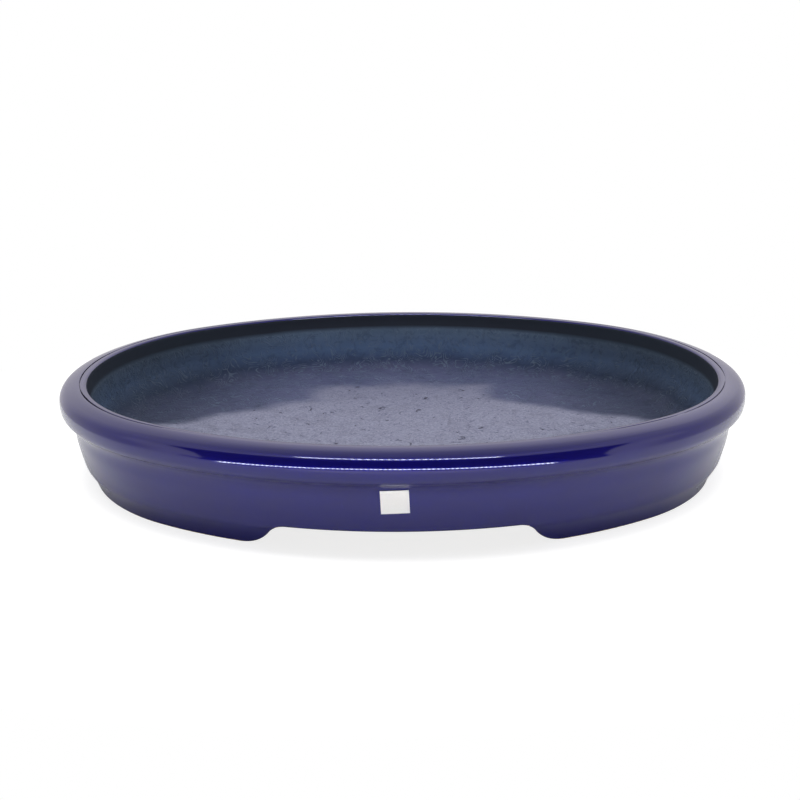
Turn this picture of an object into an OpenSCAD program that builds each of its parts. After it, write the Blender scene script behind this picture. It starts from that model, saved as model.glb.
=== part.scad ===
// Shallow oval bowl vase in glazed stoneware: a moulded wall on a flat clay floor, a thick rolled rim
// with a small bead along its inner edge, and two broad feet that wrap round the ends of the oval.
// Every section is swept round one four-centre oval. Millimetres, +Z up, the long axis along X.
// The origin is at the centre of the footprint, on the plane of the soles.

/* [Plan] */
// Overall length, over the rim
length = 380; // [345:1:430]
// Overall width, over the rim
width = 287; // [272:1:330]
// Half the angle that each end arc of the oval turns through, in degrees
join_a = 58; // [52:1:64]

/* [Body] */
// Overall height, to the top of the lip
height = 54.5; // [50:0.5:66]
// Inset of the upper part of the wall from the outermost line of the rim
wall_inset = 7.3; // [6:0.1:8]
// Thickness of the wall under the rim
wall_t = 10; // [8.5:0.1:12]
// How far the lower part of the wall draws in, down to the top of the feet
foot_draw = 2.7; // [2:0.1:4]
// Place of the soft ridge between the two parts, from 0 at the foot's band to 1 under the rim
ridge_share = 0.5; // [0.4:0.01:0.65]
// How far the upper part of the wall swells
shoulder_swell = 0.2; // [0.1:0.05:0.3]
// How far the lower part of the wall swells
belly_swell = 0.2; // [0.1:0.05:0.3]
// Radius of the cove between the wall and the floor
cove_r = 20; // [14:0.5:24]
// Thickness of the clay floor
floor_t = 6; // [4:0.5:8]

/* [Rim] */
// Height of the rolled rim, from the groove under it to the top of the lip
rim_h = 15.6; // [14:0.2:20]
// Radius of the roll at its upper corner
roll_top_r = 6.7; // [4:0.1:7]
// Radius of the roll at its lower corner
roll_low_r = 5.5; // [4:0.2:7]
// How far the lip stands above the roll
lip_rise = 1.4; // [0.4:0.1:2]
// Radius of the bead along the lip
lip_r = 2.2; // [1.5:0.1:3]
// Inset of the middle of the bead from the outermost line of the rim
lip_inset = 13.2; // [11:0.1:14.5]

/* [Feet] */
// Height of the feet, and of the openings between them
foot_h = 13.2; // [9:0.2:17]
// Inset of the outer edge of the soles from the outermost line of the rim
sole_inset = 16; // [13:0.1:20]
// Width of the soles
sole_w = 9; // [6:0.5:12]
// Height of the plain band above the hollow face of the foot, and of the same band above the foot
band_h = 1; // [0.4:0.1:2]
// Depth of the hollow face of the foot
hollow = 0.7; // [0.1:0.05:1]
// Length of the level top of each opening
opening_l = 110; // [60:1:130]
// Length of the curve at each end of an opening
ogee_l = 23; // [18:0.5:30]
// Radius of the corner where that curve leaves the sole
ogee_r = 17; // [12:0.5:18]
// How far the openings lie off the middle, along the length
opening_shift = -2; // [-10:0.5:10]

/* [Finish] */
// Thickness of the glaze
glaze_t = 0.5; // [0.3:0.1:0.8]
// Height of the bare clay above the soles
bare_h = 0.8; // [0.4:0.1:2]
// Width of the paper label
label_w = 13.2; // [8:0.1:20]
// Height of the paper label
label_h = 12; // [8:0.1:16]
// Thickness of the paper label
label_t = 0.15; // [0.1:0.05:0.3]
// Place of the label's middle along the length
label_x = -5.4; // [-30:0.1:30]
// Place of the label on the wall, from 0 at the top of the feet to 1 under the rim
label_share = 0.752; // [0.3:0.002:0.9]
// Turn of the label on the wall, in degrees
label_turn = -2.5; // [-10:0.5:10]

/* [Hidden] */
$fn = 144;

// Overrun of the cutting shapes
over = 2;
// Depth by which a face and a curve that it runs into cross each other, so that they join cleanly
bite = 0.01;
// Depth by which neighbouring arcs of the oval share their seam, so that they join at any size
lap = 0.0000001;

// The oval: its ends are arcs of end_r, its long sides are arcs of side_r, and they meet at join_a.
half_l = length / 2;
half_w = width / 2;
spread = (half_l - half_w) / (cos(join_a) + sin(join_a) - 1);
end_x = spread * cos(join_a);
side_y = spread * sin(join_a);
end_r = half_l - end_x;
side_r = half_w + side_y;

// Heights of the rim, with its circles centred over each other
seat_z = height - rim_h;
roll_top_z = height - lip_rise - roll_top_r;
roll_low_z = seat_z + roll_low_r - glaze_t;
lip_z = height - lip_r;
roll_top_c = [-roll_top_r, roll_top_z];
roll_low_c = [-roll_low_r, roll_low_z];
lip_c = [-lip_inset, lip_z];

// Heights on the wall, between the feet and the rim
band_z = foot_h + band_h;
ridge_z = band_z + ridge_share * (seat_z - band_z);
label_z = foot_h + label_h / 2 + label_share * (seat_z - foot_h - label_h);

// The wall's outline, from the top of the feet over the ridge to the rim
foot_inset = wall_inset + foot_draw;
wall_low = [-foot_inset, band_z];
wall_ridge = [-wall_inset, ridge_z];
wall_top = [-wall_inset, seat_z];

// The inner face of the wall runs into the lip's bead and leans in to meet wall_t at the rim's seat.
face_run = wall_inset + wall_t - lip_inset;
face_rise = lip_z - seat_z;
lean = atan2(face_run, face_rise) - asin(lip_r / norm([face_run, face_rise]));
into_clay = [cos(lean), -sin(lean)];
down_face = [-sin(lean), -cos(lean)];
face_top = lip_c - (lip_r - bite) * into_clay;

// The glazed floor and the cove that joins it to the wall
floor_z = foot_h + floor_t + glaze_t;
cove_z = floor_z + cove_r - bite;
face_l = (face_top[1] - cove_z + (cove_r - bite) * sin(lean)) / cos(lean);
face_end = face_top + face_l * down_face;
cove_c = face_end - (cove_r - bite) * into_clay;
slab_inset = floor_t - cove_c[0];

// Level sheets of the floor are a ring, swept round the oval, and a core that fills its middle.
core_share = 0.8;
core_inset = slab_inset + core_share * (end_r - slab_inset);
far_x = -core_inset - over;

// Radius of a shallow arc from its chord and its rise
function arc_r(chord, rise) = (chord * chord / 4 + rise * rise) / (2 * rise);

// Ends of the outer tangent of two circles, on the right-hand side when going from c1 to c2
function tangent(c1, r1, c2, r2) =
    let (v = c2 - c1, a = atan2(v[1], v[0]) - acos((r1 - r2) / norm(v)), n = [cos(a), sin(a)])
    [c1 + r1 * n, c2 + r2 * n];

// Hollow face of the foot, as part of a circle that passes outside the clay
hollow_low = [-sole_inset, 0];
hollow_top = [-foot_inset, foot_h - band_h];
hollow_v = hollow_top - hollow_low;
hollow_chord = norm(hollow_v);
hollow_r = arc_r(hollow_chord, hollow);
hollow_c = (hollow_low + hollow_top) / 2
    + [hollow_v[1], -hollow_v[0]] / hollow_chord * (hollow_r - hollow);

// The openings between the feet: the corner at the sole and the curve above it share one tangent.
ogee_top_r = (ogee_l * ogee_l + foot_h * foot_h) / (2 * foot_h) - ogee_r + bite;
opening_top_x = opening_l / 2;
opening_low_x = opening_top_x + ogee_l;

// Parts of a section are drawn with x as the distance out from the rim's outermost line, which is
// negative inside it, and y as the height. skin is 0 for the glazed surface and -glaze_t for the clay.

module spot(centre, r) {
    if (r > 0) translate(centre) circle(r);
}

module band(x1, x2, y1, y2) {
    translate([x1, y1]) square([x2 - x1, y2 - y1]);
}

// A part of the wall that swells by rise over the chord from low to high
module swelling(low, high, rise, skin) {
    chord = high - low;
    r = arc_r(norm(chord), rise);
    spot((low + high) / 2 + [chord[1], -chord[0]] / norm(chord) * (rise - r), r + skin);
}

module foot_outside(skin) {
    difference() {
        band(far_x, skin - foot_inset, 0, band_z + band_h);
        spot(hollow_c, hollow_r - skin);
    }
}

module wall_outside(skin) {
    band(far_x, skin - wall_inset - wall_t / 2, foot_h, seat_z + over);
    intersection() {
        swelling(wall_ridge, wall_top, shoulder_swell, skin);
        swelling(wall_low, wall_ridge, belly_swell, skin);
        band(far_x, 0, foot_h, seat_z + over);
    }
}

module rim_outside(skin) {
    sink = skin - bite;
    outer = tangent(roll_low_c, roll_low_r + sink, roll_top_c, roll_top_r + sink);
    top = tangent(roll_top_c, roll_top_r + sink, lip_c, lip_r + sink);
    low_z = roll_low_z - roll_low_r - sink;
    spot(roll_low_c, roll_low_r + skin);
    spot(roll_top_c, roll_top_r + skin);
    spot(lip_c, lip_r + skin);
    polygon([
        [roll_low_c[0], low_z], roll_low_c, outer[0], outer[1], roll_top_c, top[0], top[1], lip_c,
        [far_x, lip_z], [far_x, low_z]
    ]);
}

// Everything inside the outer surface, filled in far enough to reach the core
module outside(skin) {
    foot_outside(skin);
    wall_outside(skin);
    rim_outside(skin);
}

// The hollow of the bowl. depth is 0 at the glazed surface and glaze_t at the clay.
module hollow_inside(depth) {
    low_z = floor_z - depth;
    mouth_z = height + over;
    face = face_top + depth * into_clay;
    mouth = face - down_face * (mouth_z - face[1]) / cos(lean);
    corner = face + down_face * (face[1] - low_z) / cos(lean);
    reach = 2 * cove_r;
    difference() {
        polygon([mouth, corner, [far_x, low_z], [far_x, mouth_z]]);
        difference() {
            polygon([cove_c, cove_c + reach * into_clay, cove_c + [reach, -reach], cove_c - [0, reach]]);
            spot(cove_c, cove_r + depth);
        }
    }
}

module clay_section(x1, x2, z1, z2) {
    difference() {
        intersection() {
            outside(-glaze_t);
            band(x1, x2, z1, z2);
        }
        hollow_inside(glaze_t);
    }
}

// A move in two steps, coarse and fine, so that neighbouring arcs of the oval meet exactly
module place(v) {
    coarse = [for (x = v) round(x * 100) / 100];
    translate(coarse) translate(v - coarse) children();
}

// Sweeps a section round the oval
module sweep() {
    for (turn = [0, 180]) rotate(turn) {
        place([end_x - lap, 0]) rotate_extrude(angle = 2 * join_a, start = -join_a)
            place([end_r, 0]) children();
        place([0, -side_y]) rotate_extrude(angle = 180 - 2 * join_a, start = join_a)
            place([side_r, 0]) children();
    }
}

// The middle of a level sheet of the floor
module core(z, t) {
    core_l = half_l - core_inset + over;
    core_w = half_w - core_inset + over;
    translate([-core_l, -core_w, z]) cube([2 * core_l, 2 * core_w, t]);
}

// The shape of the openings between the feet, seen from the front
module opening_shape() {
    rise = foot_h;
    difference() {
        union() {
            translate([-opening_top_x, -over]) square([opening_l, rise + over]);
            for (way = [-1, 1]) {
                low = [way * opening_low_x, ogee_r - bite];
                top = [way * opening_top_x, rise - ogee_top_r];
                spot(top, ogee_top_r);
                polygon([[top[0], -over], [low[0], -over], low, top]);
            }
        }
        for (way = [-1, 1]) spot([way * opening_low_x, ogee_r - bite], ogee_r);
    }
}

module openings() {
    translate([opening_shift, half_w, 0]) rotate([90, 0, 0]) linear_extrude(width) opening_shape();
}

// One foot: way is -1 for the left end and 1 for the right end.
module foot(way) {
    difference() {
        intersection() {
            sweep() clay_section(-sole_inset - sole_w, 0, 0, foot_h);
            translate([way * half_l - half_l, -half_w, 0]) cube([length, width, foot_h]);
        }
        openings();
    }
}

module floor_slab() {
    color("tan") {
        sweep() band(-core_inset, -slab_inset, foot_h, foot_h + floor_t);
        core(foot_h, floor_t);
    }
}

module bowl_wall() {
    color("burlywood") sweep() clay_section(-slab_inset, 0, foot_h, seat_z);
}

module rolled_rim() {
    color("wheat") sweep() clay_section(-slab_inset, 0, seat_z, height);
}

module left_foot() {
    color("peru") foot(-1);
}

module right_foot() {
    color("peru") foot(1);
}

// The glaze outside, from just above the soles to the crest of the lip
module outer_glaze() {
    color("midnightblue") difference() {
        sweep() difference() {
            outside(0);
            outside(-glaze_t);
            band(far_x, 0, -over, bare_h);
            band(far_x, -lip_inset, seat_z, height + over);
        }
        openings();
    }
}

// The glaze inside, from the crest of the lip down over the wall, the cove and the floor
module inner_glaze() {
    color("darkslategray") {
        sweep() difference() {
            intersection() {
                outside(0);
                band(-core_inset, -lip_inset, floor_z - glaze_t, height + over);
            }
            difference() {
                outside(-glaze_t);
                hollow_inside(glaze_t);
            }
            hollow_inside(0);
        }
        core(floor_z - glaze_t, glaze_t);
    }
}

// A plain paper label on the front of the wall
module label() {
    color("white") intersection() {
        sweep() difference() {
            wall_outside(label_t);
            wall_outside(0);
        }
        translate([label_x, 0, label_z]) rotate([90, label_turn, 0]) linear_extrude(half_w)
            square([label_w, label_h], center = true);
    }
}

floor_slab();
bowl_wall();
rolled_rim();
left_foot();
right_foot();
outer_glaze();
inner_glaze();
label();
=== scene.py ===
import math

import bpy
import numpy as np
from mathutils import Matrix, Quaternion, Vector, noise


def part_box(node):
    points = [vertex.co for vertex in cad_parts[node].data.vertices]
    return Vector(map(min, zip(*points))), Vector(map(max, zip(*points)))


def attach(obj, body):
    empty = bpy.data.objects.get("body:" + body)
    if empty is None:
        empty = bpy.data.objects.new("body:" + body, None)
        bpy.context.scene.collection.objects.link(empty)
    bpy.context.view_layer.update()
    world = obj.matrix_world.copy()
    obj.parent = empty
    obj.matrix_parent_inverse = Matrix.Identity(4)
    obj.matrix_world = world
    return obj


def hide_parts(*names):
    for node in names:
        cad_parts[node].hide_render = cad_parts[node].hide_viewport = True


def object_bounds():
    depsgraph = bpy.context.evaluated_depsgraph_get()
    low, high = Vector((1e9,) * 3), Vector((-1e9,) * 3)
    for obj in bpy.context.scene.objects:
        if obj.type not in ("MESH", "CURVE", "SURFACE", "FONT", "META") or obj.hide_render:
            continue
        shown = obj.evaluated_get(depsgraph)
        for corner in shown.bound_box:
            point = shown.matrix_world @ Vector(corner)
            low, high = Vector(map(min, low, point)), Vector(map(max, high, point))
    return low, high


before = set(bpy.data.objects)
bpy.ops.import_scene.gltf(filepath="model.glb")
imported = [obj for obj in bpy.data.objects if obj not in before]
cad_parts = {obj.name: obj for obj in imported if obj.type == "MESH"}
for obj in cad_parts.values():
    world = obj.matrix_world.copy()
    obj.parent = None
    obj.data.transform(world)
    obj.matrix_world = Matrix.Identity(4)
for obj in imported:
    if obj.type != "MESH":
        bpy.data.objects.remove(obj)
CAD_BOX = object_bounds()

# Lengths are in metres. Sections are drawn with x as the distance out from the rim's outermost line,
# which is negative inside it, and z as the height.
MM = 0.001

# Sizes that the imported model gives
GLAZE_LOW, GLAZE_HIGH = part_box("outer_glaze")
HALF_L = (GLAZE_HIGH.x - GLAZE_LOW.x) / 2
HALF_W = (GLAZE_HIGH.y - GLAZE_LOW.y) / 2
HEIGHT = CAD_BOX[1].z
FOOT_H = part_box("left_foot")[1].z
SEAT_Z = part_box("rolled_rim")[0].z
SLAB_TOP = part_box("floor_slab")[1].z

# The glaze coat, and how far the back of a coat is sunk into the clay that carries it
GLAZE_T = 0.5 * MM
SINK = 0.8 * MM
FLOOR_Z = SLAB_TOP + GLAZE_T

# The four-centre oval
JOIN = math.radians(58)
SPREAD = (HALF_L - HALF_W) / (math.cos(JOIN) + math.sin(JOIN) - 1)
END_X = SPREAD * math.cos(JOIN)
SIDE_Y = SPREAD * math.sin(JOIN)
END_R = HALF_L - END_X
SIDE_R = HALF_W + SIDE_Y

# The rim: the lip with its bead, the roll, and the crease between them
LIP_R = 2.2 * MM
LIP_DROP = 0.1 * MM
LIP_C = np.array([-13.2 * MM, HEIGHT - LIP_DROP - LIP_R])
ROLL_TOP_R = 6.7 * MM
ROLL_DROP = 1.2 * MM
ROLL_TOP_C = np.array([-6.85 * MM, HEIGHT - ROLL_DROP - ROLL_TOP_R])
ROLL_LOW_R = 5.5 * MM
ROLL_LOW_C = np.array([-5.75 * MM, SEAT_Z - GLAZE_T + ROLL_LOW_R])
BEAD_R = 14 * MM
BEAD_START, BEAD_END, CROWN_END = math.radians(96), math.radians(80), math.radians(69)
BARREL = math.radians(7)
CREASE_X = -11.4 * MM
CREASE_W = 0.30 * MM
CREASE_DEPTH = 0.75 * MM
# Half width of the painted shade along the crease
CREASE_SHADE_HALF = 0.46 * MM
CREASE_SIDE = 1.1 * MM
CREASE_SEARCH = 80
CREASE_PATCHES, CREASE_LAYER = 3.5, 0.7
CREASE_MEAN, CREASE_SWING = 0.8, 1.4
CREASE_LEAST, CREASE_MOST = 0.1, 1.3
# How open the crease must be to take the painted shade
CREASE_SHADE_FROM = 0.2

# How far below the top the two coats meet, on the inner side of the lip
SPLIT_DROP = 0.9 * MM

# The wall, which draws in below a soft ridge
WALL_INSET = 7.3 * MM
FILLET_R = 8 * MM
FOOT_INSET = 10 * MM
BAND_H = 1 * MM
RIDGE_Z = (FOOT_H + BAND_H + SEAT_Z) / 2
SHOULDER_RISE = 0.25 * MM
BELLY_RISE = 0.25 * MM
LEAN = math.radians(8.1)
COVE_R = 20 * MM
FLOOR_STRIP = 6 * MM

# How softly the section is rounded, and where the softer stretch of the wall starts
RIM_SOFT = 0.35 * MM
WALL_SOFT = 1.8 * MM
SOFT_BLEND = 1.5 * MM
SOFT_FROM_SHARE = 0.7
SOFT_ABOVE_SEAT = 1 * MM
SOFT_REACH = 4

# The feet and the openings between them
SOLE_INSET = 16 * MM
HOLLOW = 0.7 * MM
OPENING_HALF = 55 * MM
OPENING_SHIFT = -2 * MM
OGEE_L = 23 * MM
OGEE_R = 17 * MM
GLAZE_EDGE_Z = 0.3 * MM
EDGE_SOFT = 0.5 * MM
EDGE_PASSES = 8

# The edge of the outer coat: its rounding, and how far it returns under the sole and into an opening
SOLE_ROUND = 0.3 * MM
GAP_ROUND = 0.9 * MM
GAP_COAT = 0.35 * MM
GAP_FROM, GAP_FULL = 0.3 * MM, 3 * MM
SOLE_RETURN = 0.8 * MM
GAP_RETURN = 4.7 * MM
RETURN_SHARES = ((0.3, 0.95), (0.6, 0.75), (0.85, 0.35), (1.0, -0.2))
SLOPE_STEP = 0.2 * MM

# Steps of the meshes. The rows that start with BACK lie inside the clay.
STEPS = 960
TURNS_PER_STEP = 40
FINE = 0.1 * MM
ROW = 0.5 * MM
LIP_ROW = 0.3 * MM
ROLL_ROW = 0.36 * MM
WALL_ROW = 0.55 * MM
WALL_RUN = 26 * MM
ROUND_STEPS = 8
BACK_LOW_ROWS = 12
BACK_TOP_ROWS = 40
BACK_INNER_ROWS = 26
BACK_FLOOR_SHARES = (0.75, 0.5, 0.25)
BACK_SHORT = 6
SHADE_STEP = 3
FLOOR_RINGS = 84
SAME_POINT = 1e-9
NO_LENGTH = 1e-12

# The soft undulation of the inner coat
WIDE_WAVES, WIDE_LAYER, WIDE_RELIEF = 55, 0.3, 0.10 * MM
FINE_WAVES, FINE_LAYER, FINE_RELIEF = 160, 4.1, 0.05 * MM
RELIEF_FROM, RELIEF_FULL = 6 * MM, 16 * MM


def oval(phi, out):
    """Points of the oval whose outward direction is phi, moved outwards by out."""
    phi = np.asarray(phi)
    turn = np.mod(phi + np.pi, 2 * np.pi) - np.pi
    end = (np.abs(turn) <= JOIN) | (np.abs(turn) >= np.pi - JOIN)
    centre_x = np.where(end, np.where(np.abs(turn) < np.pi / 2, END_X, -END_X), 0.0)
    centre_y = np.where(end, 0.0, np.where(turn > 0, -SIDE_Y, SIDE_Y))
    radius = np.where(end, END_R, SIDE_R) + out
    return centre_x + radius * np.cos(phi), centre_y + radius * np.sin(phi)


def even_turns(count):
    """Outward directions that are evenly spaced along the oval's outermost line."""
    fine = np.linspace(-np.pi, np.pi, TURNS_PER_STEP * count + 1)
    x, y = oval(fine, 0)
    run = np.concatenate([[0], np.cumsum(np.hypot(np.diff(x), np.diff(y)))])
    return np.interp(np.linspace(0, run[-1], count, endpoint=False), run, fine)


def ray(turn):
    """The unit step of a section in the direction of an angle in radians."""
    return np.array([math.cos(turn), math.sin(turn)])


def arc(centre, radius, start, end):
    """Points of a section arc between two angles in radians."""
    count = max(3, int(abs(end - start) * radius / FINE) + 1)
    return [centre + radius * ray(t) for t in np.linspace(start, end, count)]


def bulge(low, high, rise):
    """An arc that stands out by rise over the chord from low to high, drawn from high to low."""
    chord = high - low
    length = np.linalg.norm(chord)
    radius = (length * length / 4 + rise * rise) / (2 * rise)
    out = np.array([chord[1], -chord[0]]) / length
    centre = (low + high) / 2 + out * (rise - radius)
    start = math.atan2(*(high - centre)[::-1])
    end = math.atan2(*(low - centre)[::-1])
    if abs(start - end) > math.pi:
        end += math.copysign(2 * math.pi, start - end)
    return arc(centre, abs(radius), start, end)


def resample(points, step):
    """The same line with evenly spaced points."""
    points = np.array(points)
    gaps = np.linalg.norm(np.diff(points, axis=0), axis=1)
    keep = np.concatenate([[True], gaps > SAME_POINT])
    points = points[keep]
    run = np.concatenate([[0], np.cumsum(np.linalg.norm(np.diff(points, axis=0), axis=1))])
    even = np.linspace(0, run[-1], int(run[-1] / step) + 1)
    return np.stack([np.interp(even, run, points[:, k]) for k in (0, 1)], 1)


def soften(points, widths):
    """Rounds a line of evenly spaced points, each over its own width."""
    reach = int(SOFT_REACH * max(widths) / FINE)
    out = points.copy()
    for i in range(1, len(points) - 1):
        span = min(reach, i, len(points) - 1 - i)
        offsets = np.arange(-span, span + 1)
        weight = np.exp(-0.5 * (offsets * FINE / max(widths[i], FINE)) ** 2)
        out[i] = (points[i - span:i + span + 1] * weight[:, None]).sum(0) / weight.sum()
    return out


def inside_line():
    """The section of the inner face up to the cove: a strip of the floor, then the cove itself."""
    into = np.array([math.cos(LEAN), -math.sin(LEAN)])
    down = np.array([-math.sin(LEAN), -math.cos(LEAN)])
    face_top = LIP_C - LIP_R * into
    face_l = (face_top[1] - FLOOR_Z - COVE_R + COVE_R * math.sin(LEAN)) / math.cos(LEAN)
    cove_c = face_top + face_l * down - COVE_R * into
    floor_edge = cove_c + np.array([-FLOOR_STRIP, -COVE_R])
    return [floor_edge] + arc(cove_c, COVE_R, -math.pi / 2, -LEAN)


def rim_line():
    """The section of the rim with the fillet under it, and the height at which the fillet ends."""
    rim = arc(LIP_C, LIP_R, math.pi - LEAN, BEAD_START)
    bead_c = rim[-1] - BEAD_R * ray(BEAD_START)
    rim += arc(bead_c, BEAD_R, BEAD_START, BEAD_END)[1:]
    crown_from = rim[-1]
    crown_to = ROLL_TOP_C + ROLL_TOP_R * ray(CROWN_END)
    crown_r = (crown_to[0] - crown_from[0]) / (math.cos(CROWN_END) - math.cos(BEAD_END))
    crown_c = crown_from - crown_r * ray(BEAD_END)
    rim += arc(crown_c, crown_r, BEAD_END, CROWN_END)[1:]
    rim += arc(ROLL_TOP_C, ROLL_TOP_R, CROWN_END, BARREL)[1:]
    low_start = ROLL_LOW_C + ROLL_LOW_R * ray(-BARREL)
    swell = np.linalg.norm(rim[-1] - low_start) / 2 * math.tan(BARREL / 2)
    rim += bulge(low_start, rim[-1], swell)[1:-1]
    over = FILLET_R - WALL_INSET - ROLL_LOW_C[0]
    drop = math.sqrt((ROLL_LOW_R + FILLET_R) ** 2 - over ** 2)
    fillet_c = ROLL_LOW_C + np.array([over, -drop])
    meet = math.atan2(-drop, over)
    rim += arc(ROLL_LOW_C, ROLL_LOW_R, -BARREL, meet)
    rim += arc(fillet_c, FILLET_R, meet + math.pi, math.pi)[1:]
    return rim, fillet_c[1]


def wall_line(seat_z):
    """The section of the wall from the fillet down over the ridge and the band to the sole."""
    seat = np.array([-WALL_INSET, seat_z])
    ridge = np.array([-WALL_INSET, RIDGE_Z])
    belly = np.array([-FOOT_INSET, FOOT_H + BAND_H])
    band = np.array([-FOOT_INSET, FOOT_H - BAND_H])
    sole = np.array([-SOLE_INSET, 0.0])
    wall = bulge(ridge, seat, SHOULDER_RISE) + bulge(belly, ridge, BELLY_RISE)[1:]
    return wall + [band] + bulge(sole, band, -HOLLOW)[1:]


def full_section():
    """The glazed surface from the floor, over the lip and down to the sole, and the lip's place in it."""
    rim, seat_z = rim_line()
    line = resample(inside_line() + rim + wall_line(seat_z), FINE)
    outside_lip = np.arange(len(line)) > np.argmax(line[:, 1])
    under_rim = (line[:, 0] < -WALL_INSET * SOFT_FROM_SHARE) & (line[:, 1] < SEAT_Z + SOFT_ABOVE_SEAT)
    widths = np.where(outside_lip & under_rim, WALL_SOFT, RIM_SOFT)
    blur = int(SOFT_BLEND / FINE)
    window = np.ones(2 * blur + 1) / (2 * blur + 1)
    widths = np.convolve(np.pad(widths, blur, mode="edge"), window, "valid")
    line = soften(line, widths)
    return line, int(np.argmax(line[:, 1]))


def section_normals(line):
    """Unit normals that point away from the clay."""
    step = np.gradient(line, axis=0)
    normal = np.stack([-step[:, 1], step[:, 0]], 1)
    return normal / np.linalg.norm(normal, axis=1)[:, None]


LINE, CREST = full_section()
NORMAL = section_normals(LINE)
SPLIT = int(np.argmin(np.abs(LINE[:CREST, 1] - (HEIGHT - SPLIT_DROP))))


def at(index):
    """Section points and normals at fractional places of the line."""
    places = np.arange(len(LINE))
    point = [np.interp(index, places, LINE[:, k]) for k in (0, 1)]
    normal = [np.interp(index, places, NORMAL[:, k]) for k in (0, 1)]
    return point, normal


def crease_share(phi):
    """How open the crease between the roll and the bead is: it is widest at the ends, and uneven."""
    uneven = [noise.noise(Vector((*(CREASE_PATCHES * ray(t)), CREASE_LAYER))) for t in phi]
    uneven = np.clip(CREASE_MEAN + CREASE_SWING * np.array(uneven), CREASE_LEAST, CREASE_MOST)
    return np.abs(np.cos(phi)) ** 2 * uneven


def crease(x):
    """Depth of the crease for each step, at a distance out from the rim's outermost line."""
    return CREASE_DEPTH * CREASE_OPEN * np.exp(-((x - CREASE_X) / CREASE_W) ** 2)


def opening_height(x):
    """Height of the opening between the feet at a place along the length."""
    u = np.abs(x - OPENING_SHIFT)
    top_r = (OGEE_L ** 2 + FOOT_H ** 2) / (2 * FOOT_H) - OGEE_R
    share = OGEE_L / (top_r + OGEE_R)
    low_x = OPENING_HALF + OGEE_L
    join = OPENING_HALF + top_r * share
    top = FOOT_H - top_r + np.sqrt(np.maximum(top_r ** 2 - np.clip(u - OPENING_HALF, 0, top_r) ** 2, 0))
    low = OGEE_R - np.sqrt(OGEE_R ** 2 - np.clip(low_x - u, 0, OGEE_L) ** 2)
    return np.where(u < OPENING_HALF, FOOT_H, np.where(u < join, top, np.where(u < low_x, low, 0.0)))


def smooth_step(value, low, high):
    """A share that rises softly from 0 at low to 1 at high."""
    t = np.clip((value - low) / (high - low), 0, 1)
    return t * t * (3 - 2 * t)


def grid_normals(grid):
    """Unit normals of a grid of points, rows by steps, closed along the steps."""
    across = np.roll(grid, -1, 1) - np.roll(grid, 1, 1)
    along = np.gradient(grid, axis=0)
    normal = np.cross(along, across)
    size = np.linalg.norm(normal, axis=2, keepdims=True)
    return normal / np.maximum(size, NO_LENGTH)


def add_object(name, data):
    """An object that carries the data, in the scene."""
    added = bpy.data.objects.new(name, data)
    bpy.context.scene.collection.objects.link(added)
    return added


def make_mesh(name, rows, normals, caps=None, closed=False):
    """A smooth mesh of rings, shaded by the normals of its points. closed joins the last ring to the
    first, and caps gives the two end points."""
    count, steps, _ = rows.shape
    points = rows.reshape(-1, 3)
    ring = np.arange(steps)
    ahead = (ring + 1) % steps
    last = count if closed else count - 1
    faces = []
    for r in range(last):
        a, b = r * steps, ((r + 1) % count) * steps
        faces.append(np.stack([a + ring, b + ring, b + ahead, a + ahead], 1))
    faces = np.concatenate(faces).tolist()
    if caps is not None:
        points = np.concatenate([points, np.array(caps)])
        first, final = len(points) - 2, len(points) - 1
        base = (count - 1) * steps
        faces += [[first, int(i), int(j)] for i, j in zip(ring, ahead)]
        faces += [[final, int(base + j), int(base + i)] for i, j in zip(ring, ahead)]
    mesh = bpy.data.meshes.new(name)
    mesh.from_pydata(points.tolist(), [], faces)
    mesh.polygons.foreach_set("use_smooth", [True] * len(mesh.polygons))
    mesh.update()
    mesh.normals_split_custom_set_from_vertices(normals.tolist())
    return add_object(name, mesh)


PHI = even_turns(STEPS)
CREASE_OPEN = crease_share(PHI)


def sweep_row(index):
    """A ring of points at one place of the section, or at one place for each step."""
    index = np.broadcast_to(index, PHI.shape)
    (x, z), _ = at(index)
    z = z - crease(x) * (z > SEAT_Z)
    px, py = oval(PHI, x)
    return np.stack([px, py, z], 1)


def sunk_row(index):
    """The same ring without the crease, sunk into the clay."""
    index = np.broadcast_to(index, PHI.shape)
    (x, z), (nx, nz) = at(index)
    px, py = oval(PHI, x - nx * SINK)
    return np.stack([px, py, z - nz * SINK], 1)


def edge_places():
    """For each step, the place of the section where the coat ends, and the height of the opening."""
    height_line = LINE[CREST:, 1][::-1]
    places = np.arange(CREST, len(LINE))[::-1]
    edge = np.full(PHI.shape, GLAZE_EDGE_Z)
    for _ in range(EDGE_PASSES):
        place = np.interp(edge, height_line, places)
        (x, _z), _n = at(place)
        px, _y = oval(PHI, x)
        height = opening_height(px)
        over = height - GLAZE_EDGE_Z
        edge = GLAZE_EDGE_Z + (over + np.sqrt(over ** 2 + EDGE_SOFT ** 2)) / 2
        edge = np.minimum(edge, FOOT_H)
    return np.interp(edge, height_line, places), height


def top_places(ridge, groove):
    """Places of the outer coat's rings from the split to the ridge, dense at the crease."""
    side = int(CREASE_SIDE / FINE)
    start, stop = groove - side, groove + side
    return np.concatenate([
        np.linspace(SPLIT, start, int((start - SPLIT) * FINE / LIP_ROW), endpoint=False),
        np.linspace(start, stop, 2 * side, endpoint=False),
        np.linspace(stop, ridge, int((ridge - stop) * FINE / ROLL_ROW)),
    ])


def unit(steps):
    """The same steps, each made one long."""
    return steps / np.linalg.norm(steps, axis=1)[:, None]


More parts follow.
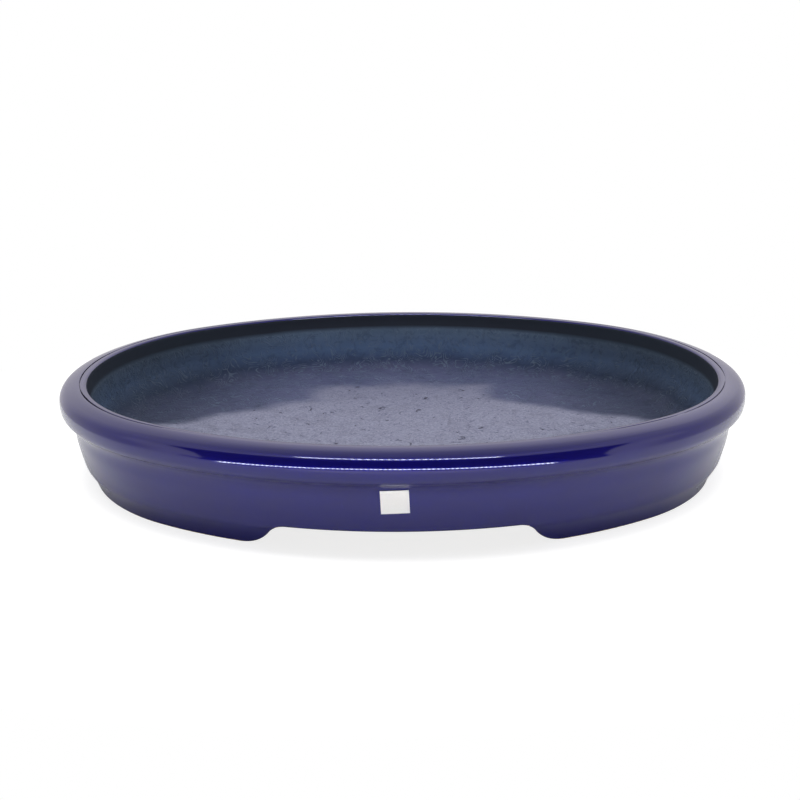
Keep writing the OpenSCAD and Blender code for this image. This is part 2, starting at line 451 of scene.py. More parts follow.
def edge_rings(start, places, in_opening, round_r):
    """Rings that round the coat's lower edge and return under the sole or into the opening."""
    corner = sweep_row(places)
    x, flat = corner[:, 0], np.zeros_like(PHI)
    slope = (opening_height(x + SLOPE_STEP) - opening_height(x - SLOPE_STEP)) / (2 * SLOPE_STEP)
    into_gap = unit(np.stack([slope, flat, flat - 1], 1))
    coat = GAP_COAT * in_opening
    corner = corner + into_gap * coat[:, None]
    side = -np.stack([np.cos(PHI), np.sin(PHI), flat], 1)
    along = np.stack([flat, -np.sign(np.sin(PHI)), flat], 1)
    inward = unit(side * (1 - in_opening[:, None]) + along * in_opening[:, None])
    turn_end = corner + inward * round_r[:, None]
    rings = []
    for t in np.linspace(0, 1, ROUND_STEPS)[1:]:
        rings.append((1 - t) ** 2 * start + 2 * t * (1 - t) * corner + t * t * turn_end)
    reach = SOLE_RETURN + GAP_RETURN * in_opening
    for share, left in RETURN_SHARES:
        ring = corner + inward * (round_r + (reach - round_r) * share)[:, None]
        rings.append(ring - into_gap * (coat * (1 - left))[:, None])
    return rings


def outer_rings():
    """Rings of the outer coat, from the split over the rim and down, round the lower edge and back
    inside the clay, with the number of rings that show and the distances of the top rings from the
    crease."""
    places, height = edge_places()
    in_opening = smooth_step(height, GAP_FROM, GAP_FULL)
    round_r = SOLE_ROUND + GAP_ROUND * in_opening
    ridge = CREST + int(np.argmin(np.abs(LINE[CREST:, 1] - RIDGE_Z)))
    groove = CREST + int(np.argmin(np.abs(LINE[CREST:CREST + CREASE_SEARCH, 0] - CREASE_X)))
    top = top_places(ridge, groove)
    rings = [sweep_row(p) for p in top]
    end = places - round_r / FINE
    for t in np.linspace(0, 1, int(WALL_RUN / WALL_ROW) + 1)[1:]:
        rings.append(sweep_row(ridge + (end - ridge) * t))
    rings += edge_rings(rings[-1], places, in_opening, round_r)
    shown = len(rings)
    for t in np.linspace(1, 0, BACK_LOW_ROWS):
        rings.append(sunk_row(ridge + (end - BACK_SHORT - ridge) * t))
    for p in np.linspace(ridge, SPLIT, BACK_TOP_ROWS)[1:]:
        rings.append(sunk_row(p))
    return np.array(rings), shown, (top - groove) * FINE


def outer_coat():
    """The outer coat, and for each face whether it takes the painted shade of the crease."""
    grid, shown, from_groove = outer_rings()
    extended = np.concatenate([sweep_row(SPLIT - SHADE_STEP)[None], grid[:shown + 1]])
    normals = np.zeros_like(grid)
    normals[:shown] = grid_normals(extended)[1:-1]
    coat = make_mesh("dressed_outer_glaze", grid, normals.reshape(-1, 3), closed=True)
    # Faces near the middle of an open crease take the painted shade.
    middle = np.abs(from_groove[1:] + from_groove[:-1])[:, None] / 2
    painted_shade = (middle < CREASE_SHADE_HALF * CREASE_OPEN[None]) & (CREASE_OPEN[None] > CREASE_SHADE_FROM)
    crease_shade_faces = np.zeros(len(coat.data.polygons), int)
    crease_shade_faces[:painted_shade.size] = painted_shade.ravel()
    return coat, crease_shade_faces


def floor_relief(x, y):
    """Soft undulation of the glazed surface inside."""
    wide = noise.noise(Vector((x * WIDE_WAVES, y * WIDE_WAVES, WIDE_LAYER)))
    fine = noise.noise(Vector((x * FINE_WAVES, y * FINE_WAVES, FINE_LAYER)))
    return WIDE_RELIEF * wide + FINE_RELIEF * fine


def shrunk(ring, share):
    """The ring drawn in towards the middle."""
    ring = ring.copy()
    ring[:, :2] *= share
    return ring


def inner_coat():
    """The inner coat, from the middle of the floor up to the split and back inside the clay."""
    rings = [sweep_row(p) for p in np.linspace(SPLIT, 0, int(SPLIT * FINE / ROW))]
    edge = rings[-1]
    rings += [shrunk(edge, k) for k in np.linspace(1, 0, FLOOR_RINGS, endpoint=False)[1:]]
    grid = np.array(rings)
    flat = grid.reshape(-1, 3)
    lift = np.array([floor_relief(px, py) for px, py in flat[:, :2]])
    depth = smooth_step(HEIGHT - flat[:, 2], RELIEF_FROM, RELIEF_FULL)
    flat -= grid_normals(grid).reshape(-1, 3) * (lift * depth)[:, None]
    grid = flat.reshape(grid.shape)[::-1]
    low = sunk_row(0)
    under = [sunk_row(p) for p in np.linspace(SPLIT, 0, BACK_INNER_ROWS)[:-1]] + [low]
    under += [shrunk(low, k) for k in BACK_FLOOR_SHARES]
    extended = np.concatenate([grid, sweep_row(SPLIT + SHADE_STEP)[None]])
    normals = np.zeros((len(grid) + len(under), STEPS, 3))
    normals[:len(grid)] = grid_normals(extended)[:-1]
    normals = np.concatenate([normals.reshape(-1, 3), [[0, 0, 1], [0, 0, 0]]])
    top = np.array([0.0, 0.0, grid[0, :, 2].mean()])
    bottom = np.array([0.0, 0.0, low[0, 2]])
    rows = np.concatenate([grid, np.array(under)])
    return make_mesh("dressed_inner_glaze", rows, normals, caps=[top, bottom])


# Colours, as linear values
COBALT = (0.0045, 0.0035, 0.089)
COBALT_CLOUD = (0.0060, 0.0040, 0.076)
COBALT_DROP = (0.008, 0.006, 0.14)
COBALT_SHINE = (0.03, 0.03, 1.0)
# Painted shade in the crease
CREASE_SHADE = (0.004, 0.004, 0.020)
CREASE_SHADE_GRAIN = (0.012, 0.011, 0.045)
STRAND = (0.20, 0.27, 0.38)
WALL_SHADE = (0.02, 0.035, 0.07)
END_SHADE = (0.026, 0.036, 0.052)
# The pale floor colours paint the reflection of the light at the back.
GLARE_FLOOR = (0.25, 0.258, 0.37)
GLARE_FLOOR_PALE = (0.36, 0.37, 0.50)
# Painted shade on the far part of the floor
FLOOR_FAR_SHADE = (0.16, 0.17, 0.27)
SCRATCH = (0.10, 0.11, 0.19)
PIT = (0.03, 0.03, 0.06)
CLAY = (0.46, 0.35, 0.25)
CLAY_PALE = (0.58, 0.47, 0.36)
CLAY_SPECK = (0.10, 0.07, 0.05)
PAPER = (0.80, 0.78, 0.76)
PAPER_PALE = (0.90, 0.89, 0.88)
WHITE = (1.0, 1.0, 1.0)
TABLE_PAINT = (0.9, 0.9, 0.9)
ROOM_TINT = (1.0, 0.965, 1.02)
LAMP_TINT = (0.90, 0.95, 1.15)

# The inner glaze's colour by height: shares of the way from the first height to the second
WALL_COLOUR_LOW, WALL_COLOUR_HIGH = 18 * MM, 54 * MM
WALL_COLOUR_SHARES = (
    (0.0, (0.125, 0.135, 0.250)),
    (0.08, (0.100, 0.112, 0.215)),
    (0.20, (0.036, 0.058, 0.140)),
    (0.42, (0.140, 0.220, 0.400)),
    (0.62, (0.160, 0.235, 0.375)),
    (0.72, (0.130, 0.190, 0.280)),
    # The top two stops are painted shade along the inside of the lip.
    (0.80, (0.034, 0.040, 0.058)),
    (1.0, (0.018, 0.022, 0.034)),
)

# Places on the inner coat: heights on the wall, then distances along and across the floor
SMOOTH_BAND_Z, CRINKLE_Z = 46 * MM, 43 * MM
STEADY_Z, LOOSE_Z = 46 * MM, 38 * MM
STEADY_WOBBLE, LOOSE_WOBBLE = 1 * MM, 6 * MM
END_SHADE_FROM, END_SHADE_FULL = 50 * MM, 165 * MM
FLOOR_TOP_Z, FLOOR_LOW_Z = 20.9 * MM, 19.9 * MM
RAGGED = 24 * MM
# The outline of the pale patch on the floor, a painted reflection of the light at the back
LONG_GLARE_HALF = 75.5 * MM
LONG_GLARE_SLOPE = 0.5
LONG_GLARE_EDGE = (-10 * MM, 5 * MM)
SHORT_GLARE_X = (44 * MM, 62 * MM)
SHORT_GLARE_Y = (66 * MM, 86 * MM)
# Where painted shade darkens the far part of the floor
FAR_SHADE_Y = (10 * MM, 80 * MM)

# How much each layer of colour covers the one below it
DROP_COVER = 0.35
STRAND_COVER = 0.6
BLOTCH_COVER = 0.3
END_COVER = 0.62
FAR_SHADE_COVER = 0.45
SCRATCH_COVER = 0.7
PIT_COVER = 0.8
SPECK_COVER = 0.8

# How shiny and how deep the surfaces are
GLAZE_ROUGH, GLAZE_IOR, GLAZE_SHINE = 0.30, 1.55, 0.5
COAT_ROUGH, COAT_IOR = 0.03, 1.62
CREASE_ROUGH, CREASE_SHINE = 0.6, 0.1
BAND_ROUGH, CRINKLE_ROUGH, CRINKLE_SHINE = 0.75, 0.45, 0.12
CLAY_ROUGH, PAPER_ROUGH = 0.85, 0.6
GLASSY_IOR, MATTE_IOR = 1.5, 1.45

# The strands and the finest relief of the materials
STRAND_WAVES = 120.0
STRAND_HEIGHT, SUNK_DEPTH = 0.5, 0.3
NOISE_MIDDLE = 0.5
GLAZE_PEEL = 0.02 * MM
CREASE_RELIEF = 0.05 * MM
CRINKLE_RELIEF = 0.5 * MM
CLAY_RELIEF = 0.12 * MM
PAPER_RELIEF = 0.02 * MM


class Shader:
    """Short calls that add nodes to a material or a world."""

    def __init__(self, owner):
        """Starts with an empty node tree."""
        owner.use_nodes = True
        self.tree = owner.node_tree
        self.tree.nodes.clear()

    def add(self, kind, out=0, inputs=None, **settings):
        """A node with its inputs linked or set. It gives one output, or the node where out is None."""
        node = self.tree.nodes.new(kind)
        for key, value in settings.items():
            setattr(node, key, value)
        for key, value in (inputs or {}).items():
            if isinstance(value, bpy.types.NodeSocket):
                self.tree.links.new(value, node.inputs[key])
            else:
                node.inputs[key].default_value = value
        return node.outputs[out] if out is not None else node

    def math(self, operation, a, b=0.0, c=0.0):
        """One step of reckoning with values."""
        return self.add("ShaderNodeMath", inputs={0: a, 1: b, 2: c}, operation=operation)

    def times(self, a, b):
        """The product of two values."""
        return self.math("MULTIPLY", a, b)

    def less(self, a, b):
        """The first value less the second."""
        return self.math("SUBTRACT", a, b)

    def size(self, value):
        """The value without its sign."""
        return self.math("ABSOLUTE", value)

    def scaled(self, value, factor, shift):
        """The value times the factor, plus the shift."""
        return self.math("MULTIPLY_ADD", value, factor, shift)

    def spread(self, value, low, high, to_low=0.0, to_high=1.0, kind="SMOOTHSTEP"):
        """The value carried from the range low to high into the range to_low to to_high."""
        inputs = {0: value, 1: low, 2: high, 3: to_low, 4: to_high}
        return self.add("ShaderNodeMapRange", inputs=inputs, interpolation_type=kind)

    def falls(self, value, inner, outer):
        """1 up to inner, falling to 0 at outer."""
        return self.spread(value, inner, outer, 1.0, 0.0)

    def near(self, value, centre, inner, outer):
        """1 within inner of the centre, falling to 0 at outer."""
        return self.falls(self.size(self.less(value, centre)), inner, outer)

    def blend(self, share, a, b):
        """A value between a and b."""
        return self.add("ShaderNodeMix", inputs={0: share, 2: a, 3: b}, data_type="FLOAT")

    def mix(self, share, a, b):
        """A colour between a and b."""
        inputs = {0: share, 6: four(a), 7: four(b)}
        return self.add("ShaderNodeMix", out=2, inputs=inputs, data_type="RGBA")

    def ramp(self, value, stops):
        """A colour that changes with the value, by stops of place and colour."""
        node = self.add("ShaderNodeValToRGB", out=None, inputs={0: value})
        first, last = node.color_ramp.elements
        first.position, first.color = stops[0][0], four(stops[0][1])
        last.position, last.color = stops[-1][0], four(stops[-1][1])
        for place, colour in stops[1:-1]:
            node.color_ramp.elements.new(place).color = four(colour)
        return node.outputs[0]

    def parts(self, where):
        """The three parts of a place or direction."""
        node = self.add("ShaderNodeSeparateXYZ", out=None, inputs={0: where})
        return node.outputs

    def place(self, scale=(1, 1, 1)):
        """The place on the object, stretched by the scale."""
        where = self.add("ShaderNodeTexCoord", out="Object")
        return self.add("ShaderNodeMapping", inputs={0: where, 3: scale})

    def noise(self, where, scale, detail, rough, twist=0.0):
        """Soft noise from 0 to 1."""
        inputs = {"Vector": where, "Scale": scale, "Detail": detail, "Roughness": rough}
        inputs["Distortion"] = twist
        return self.add("ShaderNodeTexNoise", inputs=inputs)

    def bump(self, height, strength, distance):
        """A normal that leans with the relief of the height."""
        inputs = {"Height": height, "Strength": strength, "Distance": distance}
        return self.add("ShaderNodeBump", inputs=inputs)

    def surface(self, colour, rough, ior, normal, **more):
        """The surface that the material shows."""
        inputs = {"Base Color": colour, "Roughness": rough, "IOR": ior, "Normal": normal, **more}
        shader = self.add("ShaderNodeBsdfPrincipled", inputs=inputs)
        self.add("ShaderNodeOutputMaterial", out=None, inputs={"Surface": shader})


def four(colour):
    """A colour with its fourth value, or the colour's socket as it is."""
    return colour if isinstance(colour, bpy.types.NodeSocket) else (*colour, 1.0)


def outer_glaze_material():
    """Deep cobalt under a clear coat, with faint clouds and drops and a trace of orange peel."""
    material = bpy.data.materials.new("cobalt_glaze")
    s = Shader(material)
    where = s.place()
    cloud = s.noise(where, scale=38, detail=3, rough=0.55)
    drops = s.noise(s.place((1, 1, 0.35)), scale=420, detail=2, rough=0.5)
    colour = s.mix(s.spread(cloud, low=0.35, high=0.7), COBALT, COBALT_CLOUD)
    colour = s.mix(s.spread(drops, low=0.62, high=0.8, to_high=DROP_COVER), colour, COBALT_DROP)
    peel = s.noise(where, scale=260, detail=2, rough=0.5)
    fine = s.noise(where, scale=900, detail=1, rough=0.5)
    normal = s.bump(s.scaled(fine, factor=0.25, shift=peel), strength=0.35, distance=GLAZE_PEEL)
    coat = {"Coat Weight": 1.0, "Coat Roughness": COAT_ROUGH, "Coat IOR": COAT_IOR, "Coat Normal": normal}
    depth = {"Specular Tint": four(COBALT_SHINE), "Specular IOR Level": GLAZE_SHINE}
    s.surface(colour, GLAZE_ROUGH, GLAZE_IOR, normal, **coat, **depth)
    return material


def crease_shade_material():
    """Painted shade at the bottom of the crease: a dark, grainy colour with little shine."""
    material = bpy.data.materials.new("painted_crease_shade")
    s = Shader(material)
    grain = s.noise(s.place(), scale=600, detail=2, rough=0.6)
    colour = s.mix(grain, CREASE_SHADE, CREASE_SHADE_GRAIN)
    normal = s.bump(grain, strength=0.5, distance=CREASE_RELIEF)
    s.surface(colour, CREASE_ROUGH, GLASSY_IOR, normal, **{"Specular IOR Level": CREASE_SHINE})
    return material


def strands(s, where, crinkled):
    """Fine curved lines, and the same lines broken up where the glaze is crinkled."""
    swirl = s.noise(where, scale=55, detail=2, rough=0.5, twist=1.2)
    lines = s.spread(s.math("SINE", s.times(swirl, STRAND_WAVES)), low=0.3, high=1.0)
    broken = s.spread(s.noise(where, scale=130, detail=2, rough=0.5, twist=0.6), low=0.38, high=0.58)
    return lines, s.times(s.times(lines, broken), crinkled)


def wall_colour(s, x, z, wobble, hair, crinkle, crinkled):
    """The inner wall: bands of blue by height with painted shade at the top, pale strands, dark blotches
    and darker ends.
    """
    loose = s.spread(z, LOOSE_Z, STEADY_Z, LOOSE_WOBBLE, STEADY_WOBBLE)
    level = s.scaled(wobble, loose, z)
    share = s.spread(level, WALL_COLOUR_LOW, WALL_COLOUR_HIGH, kind="LINEAR")
    wall = s.ramp(share, WALL_COLOUR_SHARES)
    wall = s.mix(s.times(hair, STRAND_COVER), wall, STRAND)
    blotch = s.times(s.spread(crinkle, low=0.52, high=0.34), s.times(crinkled, BLOTCH_COVER))
    wall = s.mix(blotch, wall, WALL_SHADE)
    at_end = s.spread(s.size(x), END_SHADE_FROM, END_SHADE_FULL, to_high=END_COVER)
    return s.mix(at_end, wall, END_SHADE)


def painted_glare_share(s, x, y, z, wobble):
    """Where the painted reflection of the light at the back lies on the floor: a long patch with a short
    one across it, ragged at the edge.
    """
    along, across = s.size(x), s.size(y)
    ragged = s.times(wobble, RAGGED)
    reach = s.scaled(along, LONG_GLARE_SLOPE, s.less(across, LONG_GLARE_HALF))
    long_glare = s.falls(s.math("ADD", reach, ragged), *LONG_GLARE_EDGE)
    short_glare = s.times(s.falls(s.math("ADD", along, ragged), *SHORT_GLARE_X),
                         s.falls(s.math("ADD", across, ragged), *SHORT_GLARE_Y))
    on_floor = s.spread(z, FLOOR_TOP_Z, FLOOR_LOW_Z)
    return s.times(s.math("MAXIMUM", long_glare, short_glare), on_floor)


def inner_glaze_material():
    """Crinkled blue glaze, with a painted reflection of the back light as a pale patch on the floor and
    painted shade on the far floor; the floor is scratched and pitted.
    """
    material = bpy.data.materials.new("crinkled_glaze")
    s = Shader(material)
    where = s.place()
    x, y, z = s.parts(where)
    wobble = s.less(s.noise(where, scale=30, detail=3, rough=0.6), NOISE_MIDDLE)
    crinkled = s.spread(z, SMOOTH_BAND_Z, CRINKLE_Z)
    lines, hair = strands(s, where, crinkled)
    crinkle = s.noise(where, scale=160, detail=5, rough=0.6, twist=1.6)
    wall = wall_colour(s, x, z, wobble, hair, crinkle, crinkled)
    grain = s.noise(where, scale=700, detail=3, rough=0.7)
    floor = s.mix(s.spread(grain, low=0.35, high=0.7), GLARE_FLOOR, GLARE_FLOOR_PALE)
    # Painted shade: the far part of the floor is darker.
    floor = s.mix(s.times(s.spread(y, *FAR_SHADE_Y), FAR_SHADE_COVER), floor, FLOOR_FAR_SHADE)
    scratch = s.spread(s.noise(where, scale=230, detail=2, rough=0.5, twist=1.0), low=0.52, high=0.62)
    scratch = s.times(lines, scratch)
    floor = s.mix(s.times(scratch, SCRATCH_COVER), floor, SCRATCH)
    pits = s.spread(s.noise(where, scale=230, detail=1, rough=0.5, twist=0.8), low=0.70, high=0.75)
    floor = s.mix(s.times(pits, PIT_COVER), floor, PIT)
    # The pale patch on the floor is a painted reflection of the light at the back.
    colour = s.mix(painted_glare_share(s, x, y, z, wobble), wall, floor)

    sunk = s.times(s.math("ADD", pits, scratch), SUNK_DEPTH)
    relief = s.times(s.less(s.scaled(hair, STRAND_HEIGHT, crinkle), sunk), crinkled)
    rough = s.spread(crinkled, 0.0, 1.0, BAND_ROUGH, CRINKLE_ROUGH)
    normal = s.bump(relief, strength=0.9, distance=CRINKLE_RELIEF)
    s.surface(colour, rough, GLASSY_IOR, normal, **{"Specular IOR Level": CRINKLE_SHINE})
    return material


def clay_material():
    """Bare clay with dark specks, fine grit and faint turning lines."""
    material = bpy.data.materials.new("bare_clay")
    s = Shader(material)
    where = s.place()
    colour = s.mix(s.noise(where, scale=26, detail=4, rough=0.6), CLAY, CLAY_PALE)
    specks = s.noise(where, scale=900, detail=2, rough=0.5)
    colour = s.mix(s.spread(specks, low=0.68, high=0.74, to_high=SPECK_COVER), colour, CLAY_SPECK)
    turning = s.noise(s.place((0.15, 0.15, 1)), scale=300, detail=2, rough=0.5)
    grit = s.noise(where, scale=1400, detail=3, rough=0.7)
    normal = s.bump(s.scaled(grit, factor=0.5, shift=turning), strength=0.6, distance=CLAY_RELIEF)
    s.surface(colour, CLAY_ROUGH, MATTE_IOR, normal)
    return material


def paper_material():
    """White paper with a fine fibre."""
    material = bpy.data.materials.new("label_paper")
    s = Shader(material)
    fibre = s.noise(s.place((1, 1, 3)), scale=1500, detail=3, rough=0.6, twist=0.8)
    colour = s.mix(fibre, PAPER, PAPER_PALE)
    normal = s.bump(fibre, strength=0.3, distance=PAPER_RELIEF)
    s.surface(colour, PAPER_ROUGH, MATTE_IOR, normal)
    return material


# The label: a patch of paper that follows the wall
LABEL_W = 13.2 * MM
LABEL_H = 12 * MM
LABEL_T = 0.15 * MM
LABEL_X = -5.4 * MM
LABEL_Z = 29.5 * MM
LABEL_TURN = math.radians(2.6)
LABEL_SINK = 0.3 * MM
LABEL_CURL = 0.25 * MM
CURL_FROM_SHARE = 0.38
LABEL_ACROSS, LABEL_UP = 25, 23


def wall_place(x, z, out):
    """A point on the front of the wall, standing out by out."""
    heights = LINE[CREST:, 1][::-1]
    insets = LINE[CREST:, 0][::-1]
    low = np.interp(z, heights, insets)
    radius = SIDE_R + low + out
    return np.array([x, SIDE_Y - math.sqrt(radius ** 2 - x * x), z])


def label_place(i, j, layer):
    """A point of the label, counted across and up, whose top edge stands a little away from the wall."""
    u = (i / (LABEL_ACROSS - 1) - 0.5) * LABEL_W
    v = (j / (LABEL_UP - 1) - 0.5) * LABEL_H
    x = LABEL_X + u * math.cos(LABEL_TURN) - v * math.sin(LABEL_TURN)
    z = LABEL_Z + u * math.sin(LABEL_TURN) + v * math.cos(LABEL_TURN)
    lift = LABEL_CURL * smooth_step(v, LABEL_H * CURL_FROM_SHARE, LABEL_H / 2)
    return wall_place(x, z, layer + lift)


def paper_label():
    """The label, as a closed sheet whose back is sunk into the glaze."""
    across, up = LABEL_ACROSS, LABEL_UP
    points = [label_place(i, j, layer) for layer in (LABEL_T, -LABEL_SINK)
              for j in range(up) for i in range(across)]
    back = across * up
    faces = []
    for j in range(up - 1):
        for i in range(across - 1):
            a = j * across + i
            quad = [a, a + 1, a + across + 1, a + across]
            faces.append(quad)
            faces.append([back + k for k in quad[::-1]])
    rim = list(range(across))
    rim += [j * across + across - 1 for j in range(1, up)]
    rim += [(up - 1) * across + i for i in range(across - 2, -1, -1)]
    rim += [j * across for j in range(up - 2, 0, -1)]
    for a, b in zip(rim, rim[1:] + rim[:1]):
        faces.append([a, back + a, back + b, b])
    mesh = bpy.data.meshes.new("dressed_label")
    mesh.from_pydata([tuple(p) for p in points], [], faces)
    mesh.update()
    return add_object("dressed_label", mesh)


# The camera of the photograph: angles in degrees, distance in metres, lens and sensor in millimetres
CAMERA_EL = 20.84319
CAMERA_AZ = -0.67334
CAMERA_ROLL = -0.35667
CAMERA_TURN = 0.13763
CAMERA_TILT = 2.96389
CAMERA_FAR = 0.62950
CAMERA_LENS = 48.55864
SENSOR = 36
CLIP_NEAR, CLIP_FAR = 0.01, 100


def make_camera():
    """The camera, which looks from the front at the origin and is then turned, tilted and rolled."""
    data = bpy.data.cameras.new("camera")
    data.lens = CAMERA_LENS
    data.sensor_width = SENSOR
    data.clip_start, data.clip_end = CLIP_NEAR, CLIP_FAR
    camera = add_object("camera", data)
    el, az = math.radians(CAMERA_EL), math.radians(CAMERA_AZ)
    back = Vector((math.sin(az) * math.cos(el), -math.cos(az) * math.cos(el), math.sin(el)))
    turn = (-back).to_track_quat("-Z", "Y")
    turn = turn @ Quaternion((0, 1, 0), math.radians(CAMERA_TURN))
    turn = turn @ Quaternion((1, 0, 0), math.radians(CAMERA_TILT))
    turn = turn @ Quaternion((0, 0, 1), math.radians(CAMERA_ROLL))
    camera.rotation_mode = "QUATERNION"
    camera.location = back * CAMERA_FAR
    camera.rotation_quaternion = turn
    bpy.context.scene.camera = camera


# The light of the room, by direction. Both angles are in degrees: side is the turn to the right, and
# pitch climbs from the front over the top to the back. A level of 1 is plain white. Two values are
# the two ends of a soft edge, and three are a centre with its inner and its outer reach.
LOW_PITCH, LOW_SLOPE, LOW_BEND, LOW_BEND_SIDE = 3.0, -0.06, -23.8, 46.0
TOP_PITCH, TOP_SLOPE, TOP_BEND = 80.5, -0.2, -0.010
DARK_LOW_EDGE = (1.5, 3.5)
DARK_TOP_PITCH, DARK_TOP_SLOPE, DARK_TOP_SOFT = 71.0, -0.05, 3.0
DARK_SIDE_LOW, DARK_SIDE_HIGH, DARK_SIDE_SOFT = (20.0, 53.0), (75.0, 49.5), 0.8
DARK_DEPTH = 0.985

# The lower corners of the dark front: centre and half width by side, then centre and half height by pitch
LEFT_CORNER, LEFT_CORNER_DEPTH = (-54.5, 4.5, -14.0, 5.0), 0.75
RIGHT_CORNER, RIGHT_CORNER_DEPTH = (45.5, 3.5, -9.0, 8.0), 0.85
CORNER_SIDE_SOFT, CORNER_PITCH_SOFT = 1.0, 2.0

# The strips of small lamps
LAMP_WAVES, LAMP_SWING, LAMP_MEAN = 5.2, 0.55, 0.75
LOW_STRIP_EDGE, LOW_STRIP_SIDE, LOW_STRIP_LEVEL = (2.2, 4.4), (-4.5, 41.5, 44.0), 17.0
TOP_STRIP_EDGE, TOP_STRIP_SIDE, TOP_STRIP_LEVEL = (1.5, 3.4), (0.0, 17.0, 19.0), 18.0

# The rest of the room
ROOM_LEVEL = 0.52
PANEL_SIDE, PANEL_PITCH, PANEL_LEVEL = (60.0, 2.0, 15.0), (25.0, 45.0, 70.0), 0.30
GLOW_LOW, GLOW_HIGH, GLOW_SIDE, GLOW_LEVEL = (-42.0, -28.0), (-15.0, -9.0), (45.0, 56.0), 0.75
BACK_SIDE, BACK_PITCH, BACK_LEVEL = (6.0, 12.0, 32.0), (147.0, 9.0, 22.0), 0.38
SHOULDER_SIDE, SHOULDER_LEVEL = (32.0, 8.0, 26.0), 0.12
CEILING_PITCH, CEILING_SIDE, CEILING_DIM = (106.0, 12.0, 26.0), (18.0, 40.0), 0.3
GAP_PITCH, GAP_SIDE, GAP_DIM = (-6.0, 3.0, 6.0), (44.0, 50.0), 0.35
EVEN_STRIPS, EVEN_LEVEL = 0.95, 0.98


def dark_front(s, side, pitch, over_low):
    """How far a direction lies in the dark front of the room, which has two lower corners."""
    dark = s.spread(over_low, *DARK_LOW_EDGE)
    top_edge = s.scaled(side, DARK_TOP_SLOPE, DARK_TOP_PITCH)
    dark = s.times(dark, s.spread(s.less(top_edge, pitch), -DARK_TOP_SOFT, DARK_TOP_SOFT))
    (low, low_reach), (high, high_reach) = DARK_SIDE_LOW, DARK_SIDE_HIGH
    reach = s.spread(pitch, low, high, low_reach, high_reach, kind="LINEAR")
    dark = s.times(dark, s.falls(s.less(s.size(side), reach), -DARK_SIDE_SOFT, DARK_SIDE_SOFT))
    corners = ((LEFT_CORNER, LEFT_CORNER_DEPTH), (RIGHT_CORNER, RIGHT_CORNER_DEPTH))
    for (centre, half, pitch_centre, pitch_half), depth in corners:
        wide = s.near(side, centre, half - CORNER_SIDE_SOFT, half + CORNER_SIDE_SOFT)
        high = s.near(pitch, pitch_centre, pitch_half - CORNER_PITCH_SOFT, pitch_half + CORNER_PITCH_SOFT)
        dark = s.math("MAXIMUM", dark, s.times(s.times(wide, high), depth))
    return dark


def lamp_strips(s, side, pitch, over_low):
    """Two strips of small lamps, along the lower and the upper edge of the dark front."""
    top_line = s.scaled(s.math("POWER", side, 2.0), TOP_BEND, s.scaled(side, TOP_SLOPE, TOP_PITCH))
    low = s.times(s.near(over_low, 0.0, *LOW_STRIP_EDGE), s.near(side, *LOW_STRIP_SIDE))
    top = s.times(s.near(s.less(pitch, top_line), 0.0, *TOP_STRIP_EDGE), s.near(side, *TOP_STRIP_SIDE))
    both = s.scaled(low, LOW_STRIP_LEVEL, s.times(top, TOP_STRIP_LEVEL))
    return s.times(both, s.scaled(s.math("SINE", s.times(side, LAMP_WAVES)), LAMP_SWING, LAMP_MEAN))


def room_level(s, side, pitch, over_low):
    """The room round the dark front: panels at both sides, a glow from below, a lamp at the back,
    brighter shoulders, a dim ceiling and a dim gap under the lower strip."""
    off = s.size(side)
    panels = s.times(s.near(off, *PANEL_SIDE), s.near(pitch, *PANEL_PITCH))
    glow = s.times(s.spread(over_low, *GLOW_LOW), s.falls(over_low, *GLOW_HIGH))
    glow = s.times(glow, s.falls(off, *GLOW_SIDE))
    back_lamp = s.times(s.near(side, *BACK_SIDE), s.near(pitch, *BACK_PITCH))
    level = s.scaled(panels, PANEL_LEVEL, ROOM_LEVEL)
    level = s.scaled(glow, GLOW_LEVEL, level)
    level = s.scaled(back_lamp, BACK_LEVEL, level)
    level = s.scaled(s.near(off, *SHOULDER_SIDE), SHOULDER_LEVEL, level)
    ceiling = s.times(s.near(pitch, *CEILING_PITCH), s.falls(off, *CEILING_SIDE))
    level = s.times(level, s.scaled(ceiling, -CEILING_DIM, 1.0))
    gap = s.times(s.near(over_low, *GAP_PITCH), s.falls(off, *GAP_SIDE))
    return s.times(level, s.scaled(gap, -GAP_DIM, 1.0))


def make_world():
    """A white studio with a dark front, edged by thin strips of light. Shiny surfaces mirror this
    room, matte ones are lit by its even light, and the camera sees plain white."""
    world = bpy.data.worlds.new("studio")
    bpy.context.scene.world = world
    s = Shader(world)
    x, y, z = s.parts(s.add("ShaderNodeTexCoord", out="Generated"))
    degrees = math.degrees(1)
    side = s.times(s.math("ARCSINE", x), degrees)
    pitch = s.times(s.math("ARCTAN2", z, s.times(y, -1.0)), degrees)
    bend = s.math("POWER", s.math("DIVIDE", side, LOW_BEND_SIDE), 2.0)
    low_line = s.scaled(bend, LOW_BEND, s.scaled(side, LOW_SLOPE, LOW_PITCH))
    over_low = s.less(pitch, low_line)
    strips = lamp_strips(s, side, pitch, over_low)
    lit = s.scaled(dark_front(s, side, pitch, over_low), -DARK_DEPTH, 1.0)
    mirrored = s.scaled(room_level(s, side, pitch, over_low), lit, strips)
    even = s.scaled(strips, EVEN_STRIPS, s.times(lit, EVEN_LEVEL))
    path = s.add("ShaderNodeLightPath", out=None).outputs
    level = s.blend(path["Is Glossy Ray"], even, mirrored)
    level = s.blend(path["Is Camera Ray"], level, 1.0)
    tint = s.mix(s.math("MINIMUM", strips, 1.0), ROOM_TINT, LAMP_TINT)
    tint = s.mix(path["Is Glossy Ray"], WHITE, tint)
    light = s.add("ShaderNodeBackground", inputs={0: tint, 1: level})
    s.add("ShaderNodeOutputWorld", out=None, inputs={"Surface": light})


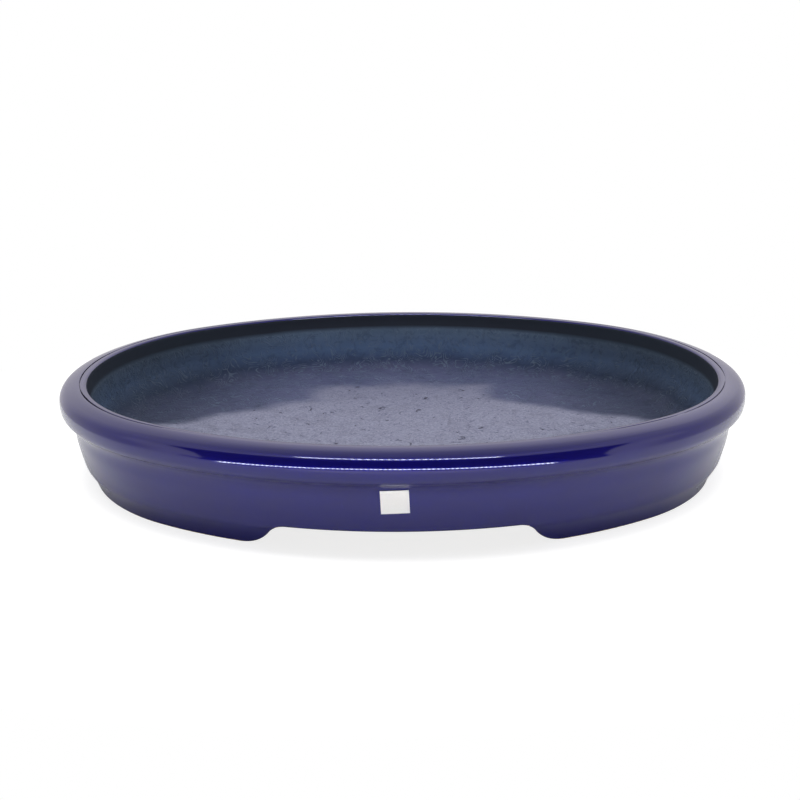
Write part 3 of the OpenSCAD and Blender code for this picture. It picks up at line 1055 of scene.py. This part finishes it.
# The table: an oval disc of white, which ends short of the front strip of light. Distances from the
# middle are shares of the bowl's half length and half width.
TABLE_X = 0.40
TABLE_Y = 0.27
TABLE_CORNERS = 128
TABLE_GLOW = 1.22
SHADOW_SHARES = (0.92, 1.04)
UNDER_BOWL_GLOW, OPEN_GLOW = 0.66, 0.95
MIRRORED_SHARES = (0.93, 1.2)
MIRRORED_GLOW = 0.2


def table_material():
    """White paint that glows in part, so that the table is white and still takes the bowl's shadow."""
    material = bpy.data.materials.new("white_table")
    s = Shader(material)
    paint = s.add("ShaderNodeBsdfDiffuse", inputs={0: four(TABLE_PAINT)})
    white = s.add("ShaderNodeEmission", inputs={0: four(WHITE), 1: TABLE_GLOW})
    where = s.place((1 / HALF_L, 1 / HALF_W, 0))
    away = s.add("ShaderNodeVectorMath", out=1, inputs={0: where}, operation="LENGTH")
    path = s.add("ShaderNodeLightPath", out=None).outputs
    seen = s.times(path["Is Camera Ray"], s.spread(away, *SHADOW_SHARES, UNDER_BOWL_GLOW, OPEN_GLOW))
    mirrored = s.times(path["Is Glossy Ray"], s.spread(away, *MIRRORED_SHARES, to_high=MIRRORED_GLOW))
    share = s.math("MAXIMUM", seen, mirrored)
    both = s.add("ShaderNodeMixShader", inputs={0: share, 1: paint, 2: white})
    s.add("ShaderNodeOutputMaterial", out=None, inputs={"Surface": both})
    return material


def make_table():
    """The oval disc that the bowl stands on, in the plane of the soles."""
    turn = np.linspace(0, 2 * np.pi, TABLE_CORNERS, endpoint=False)
    points = [(TABLE_X * math.cos(t), TABLE_Y * math.sin(t), 0.0) for t in turn]
    mesh = bpy.data.meshes.new("table")
    mesh.from_pydata(points, [], [list(range(TABLE_CORNERS))])
    mesh.update()
    mesh.materials.append(table_material())
    add_object("table", mesh)


def dress(piece, node, material):
    """Gives a piece its material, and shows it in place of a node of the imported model."""
    piece.data.materials.append(material)
    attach(piece, "root")
    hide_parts(node)


def dress_clay(material):
    """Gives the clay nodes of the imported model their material."""
    for name in ("floor_slab", "bowl_wall", "rolled_rim", "left_foot", "right_foot"):
        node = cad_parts[name]
        if not node.material_slots:
            node.data.materials.append(material)
        for holder in node.material_slots:
            holder.material = material


bpy.context.scene.view_settings.view_transform = "Standard"
make_camera()
make_world()
make_table()
outside, crease_shade_faces = outer_coat()
dress(outside, "outer_glaze", outer_glaze_material())
# The faces in the crease take its painted shade.
outside.data.materials.append(crease_shade_material())
outside.data.polygons.foreach_set("material_index", crease_shade_faces.tolist())
dress(inner_coat(), "inner_glaze", inner_glaze_material())
dress(paper_label(), "label", paper_material())
dress_clay(clay_material())

bpy.context.view_layer.update()
